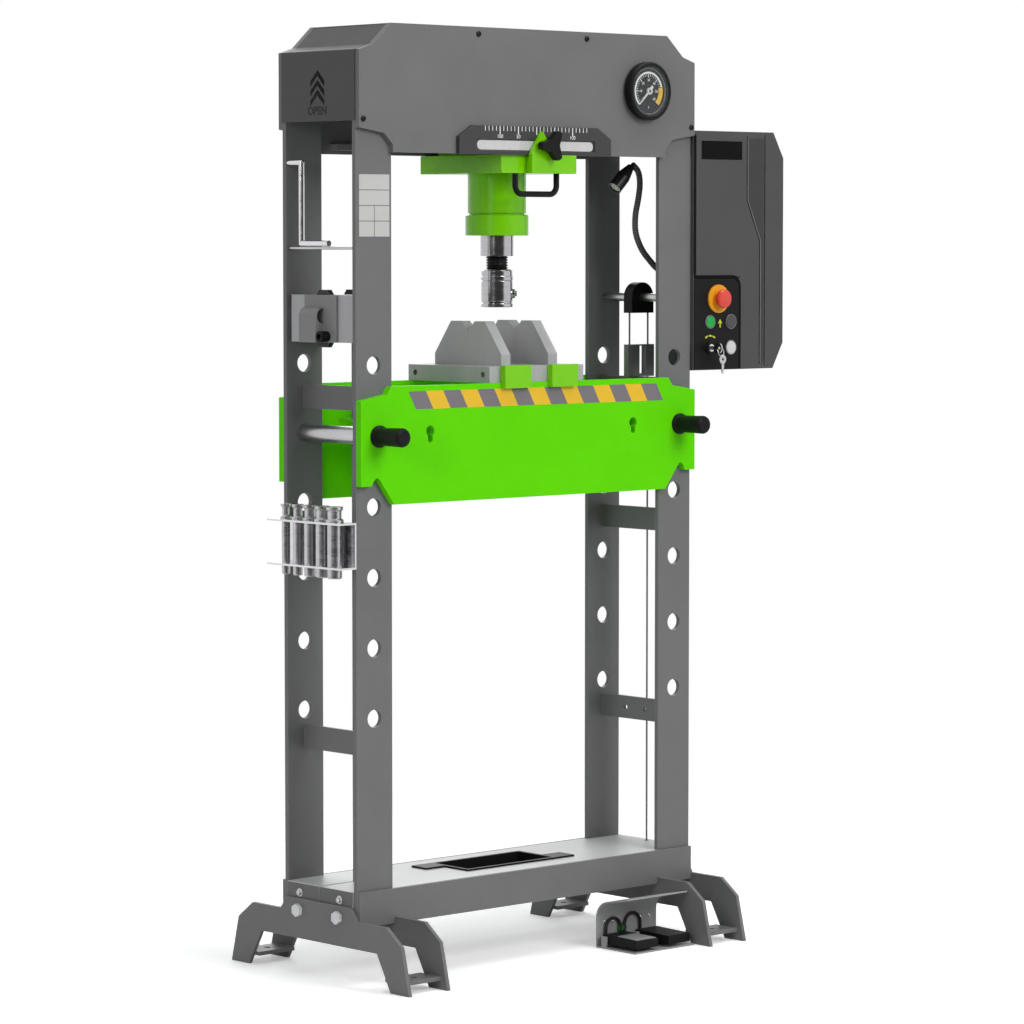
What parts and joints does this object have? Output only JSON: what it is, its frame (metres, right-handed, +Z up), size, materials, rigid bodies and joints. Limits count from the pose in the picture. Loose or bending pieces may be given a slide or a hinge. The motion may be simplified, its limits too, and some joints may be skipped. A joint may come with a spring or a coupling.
{
  "type": "workshop press",
  "caption": "Floor standing hydraulic workshop press with a sliding ram unit, a pinned height-set table on V blocks, a rope lift, a control cabinet and foot pedals.",
  "frame": {"origin": "middle of the footprint box on the floor", "axes": "+Z up, +X to the operator's right, +Y to the back"},
  "size_m": [1.243, 0.556, 1.9],
  "materials": {
    "grey_paint": "satin grey paint",
    "dark_paint": "satin dark grey paint",
    "light_sheet": "light grey paint",
    "table_green": "bright green paint",
    "unit_green": "green paint",
    "machined_steel": "machined steel",
    "bright_steel": "polished steel",
    "rope_steel": "wire rope",
    "black_plastic": "black plastic",
    "black_steel": "blackened steel",
    "yellow_plastic": "yellow plastic",
    "red_plastic": "red plastic",
    "green_plastic": "green plastic",
    "white_plastic": "white plastic"
  },
  "bodies": {
    "frame": {"side_frame_left": "grey_paint", "side_frame_right": "grey_paint", "head_front_plate": "grey_paint", "head_rear_plate": "grey_paint", "head_top_cover": "grey_paint", "scale_plate": "dark_paint", "gauge_body": "black_plastic", "base_frame": "grey_paint", "base_top_sheet": "light_sheet", "storage_tray": "black_plastic", "legs": "grey_paint", "table_front_plate": "table_green", "table_rear_plate": "table_green", "v_block_left": "machined_steel", "v_block_right": "machined_steel", "block_stops": "table_green", "winch_bracket": "light_sheet", "winch_cover": "grey_paint", "crank_handle": "bright_steel", "cross_rods": "bright_steel", "tool_rack": "light_sheet", "mandrels": "machined_steel", "pulley_housing": "black_plastic", "lift_rope": "rope_steel", "cabinet_box": "dark_paint", "cabinet_cover": "dark_paint", "control_panel": "black_plastic", "estop_collar": "yellow_plastic", "lamp_arm": "black_plastic", "lamp_head": "black_plastic", "pedal_guard": "grey_paint", "pedal_cables": "black_plastic"},
    "carriage": {"carriage_plate": "unit_green", "cylinder": "unit_green", "gland_ring": "unit_green", "carriage_handle": "black_plastic", "pointer_bracket": "unit_green"},
    "knob": {"clamp_knob": "black_plastic"},
    "ram": {"piston_rod": "bright_steel"},
    "tool_spindle": {"spindle": "black_steel", "tool_coupling": "bright_steel"},
    "left_pin": {"pin_left": "bright_steel", "pin_grip_left": "black_plastic"},
    "right_pin": {"pin_right": "bright_steel", "pin_grip_right": "black_plastic"},
    "left_flap": {"end_cover_left": "dark_paint"},
    "right_flap": {"end_cover_right": "dark_paint"},
    "needle": {"gauge_needle": "white_plastic"},
    "estop": {"estop_button": "red_plastic"},
    "start": {"start_button": "green_plastic"},
    "up": {"up_button": "black_plastic"},
    "down": {"down_button": "white_plastic"},
    "switch_key": {"key": "bright_steel"},
    "left_pedal": {"pedal_left": "black_plastic"},
    "right_pedal": {"pedal_right": "black_plastic"},
    "socket": {"winch_socket": "black_plastic"},
    "drum": {"winch_drum": "machined_steel"},
    "top_wheel": {"pulley_wheel": "machined_steel"},
    "left_sheave": {"base_sheave_left": "machined_steel"},
    "right_sheave": {"base_sheave_right": "machined_steel"}
  },
  "joints": [
    {"name": "carriage_slide", "type": "slide", "parent": "frame", "child": "carriage", "axis": [1, 0, 0], "range_m": [-0.15, 0.13]},
    {"name": "ram_stroke", "type": "slide", "parent": "carriage", "child": "ram", "axis": [0, 0, -1], "range_m": [0, 0.11]},
    {"name": "spindle_turn", "type": "hinge", "parent": "ram", "child": "tool_spindle", "pos_m": [-0.1025, 0, 1.43], "axis": [0, 0, 1], "continuous": true},
    {"name": "clamp_turn", "type": "hinge", "parent": "carriage", "child": "knob", "pos_m": [-0.0955, -0.15, 1.665], "axis": [0, -1, 0], "continuous": true},
    {"name": "pin_left_pull", "type": "slide", "parent": "frame", "child": "left_pin", "axis": [0, -1, 0], "range_m": [0, 0.27]},
    {"name": "pin_right_pull", "type": "slide", "parent": "frame", "child": "right_pin", "axis": [0, -1, 0], "range_m": [0, 0.27]},
    {"name": "cover_left_open", "type": "hinge", "parent": "frame", "child": "left_flap", "pos_m": [-0.4955, 0, 1.8968], "axis": [0, 1, 0], "range_deg": [0, 95]},
    {"name": "cover_right_open", "type": "hinge", "parent": "frame", "child": "right_flap", "pos_m": [0.2645, 0, 1.8968], "axis": [0, -1, 0], "range_deg": [0, 95]},
    {"name": "gauge_needle_turn", "type": "hinge", "parent": "frame", "child": "needle", "pos_m": [0.1975, -0.14, 1.783], "axis": [0, 1, 0], "range_deg": [0, 270], "stiffness_Nm_per_rad": 0.02, "springref_deg": -11.46},
    {"name": "estop_push", "type": "slide", "parent": "frame", "child": "estop", "axis": [0, 1, 0], "range_m": [0, 0.005]},
    {"name": "start_push", "type": "slide", "parent": "frame", "child": "start", "axis": [0, 1, 0], "range_m": [0, 0.003], "stiffness_N_per_m": 800, "springref_m": -0.001},
    {"name": "up_push", "type": "slide", "parent": "frame", "child": "up", "axis": [0, 1, 0], "range_m": [0, 0.003], "stiffness_N_per_m": 800, "springref_m": -0.001},
    {"name": "down_push", "type": "slide", "parent": "frame", "child": "down", "axis": [0, 1, 0], "range_m": [0, 0.003], "stiffness_N_per_m": 800, "springref_m": -0.001},
    {"name": "key_turn", "type": "hinge", "parent": "frame", "child": "switch_key", "pos_m": [0.3975, -0.13, 1.246], "axis": [0, 1, 0], "range_deg": [0, 90]},
    {"name": "pedal_left_press", "type": "hinge", "parent": "frame", "child": "left_pedal", "pos_m": [0.1045, -0.1425, 0.019], "axis": [1, 0, 0], "range_deg": [0, 3.2], "stiffness_Nm_per_rad": 6, "springref_deg": -4.58},
    {"name": "pedal_right_press", "type": "hinge", "parent": "frame", "child": "right_pedal", "pos_m": [0.1975, -0.1425, 0.019], "axis": [1, 0, 0], "range_deg": [0, 3.2], "stiffness_Nm_per_rad": 6, "springref_deg": -4.58},
    {"name": "drum_turn", "type": "hinge", "parent": "frame", "child": "drum", "pos_m": [-0.5155, 0, 1.32], "axis": [0, 1, 0], "continuous": true},
    {"name": "winch_turn", "type": "hinge", "parent": "frame", "child": "socket", "pos_m": [-0.5765, -0.024, 1.284], "axis": [-1, 0, 0], "continuous": true},
    {"name": "left_sheave_turn", "type": "hinge", "parent": "frame", "child": "left_sheave", "pos_m": [-0.4675, 0, 0.15], "axis": [0, 1, 0], "continuous": true},
    {"name": "right_sheave_turn", "type": "hinge", "parent": "frame", "child": "right_sheave", "pos_m": [0.3075, 0, 0.15], "axis": [0, 1, 0], "continuous": true},
    {"name": "top_wheel_turn", "type": "hinge", "parent": "frame", "child": "top_wheel", "pos_m": [0.3045, 0, 1.353], "axis": [0, 1, 0], "continuous": true}
  ],
  "couplings": [
    {"joint": "winch_turn", "follows": "drum_turn", "ratio": 20},
    {"joint": "left_sheave_turn", "follows": "drum_turn", "ratio": -1},
    {"joint": "right_sheave_turn", "follows": "drum_turn", "ratio": -1},
    {"joint": "top_wheel_turn", "follows": "drum_turn", "ratio": -0.88889}
  ]
}
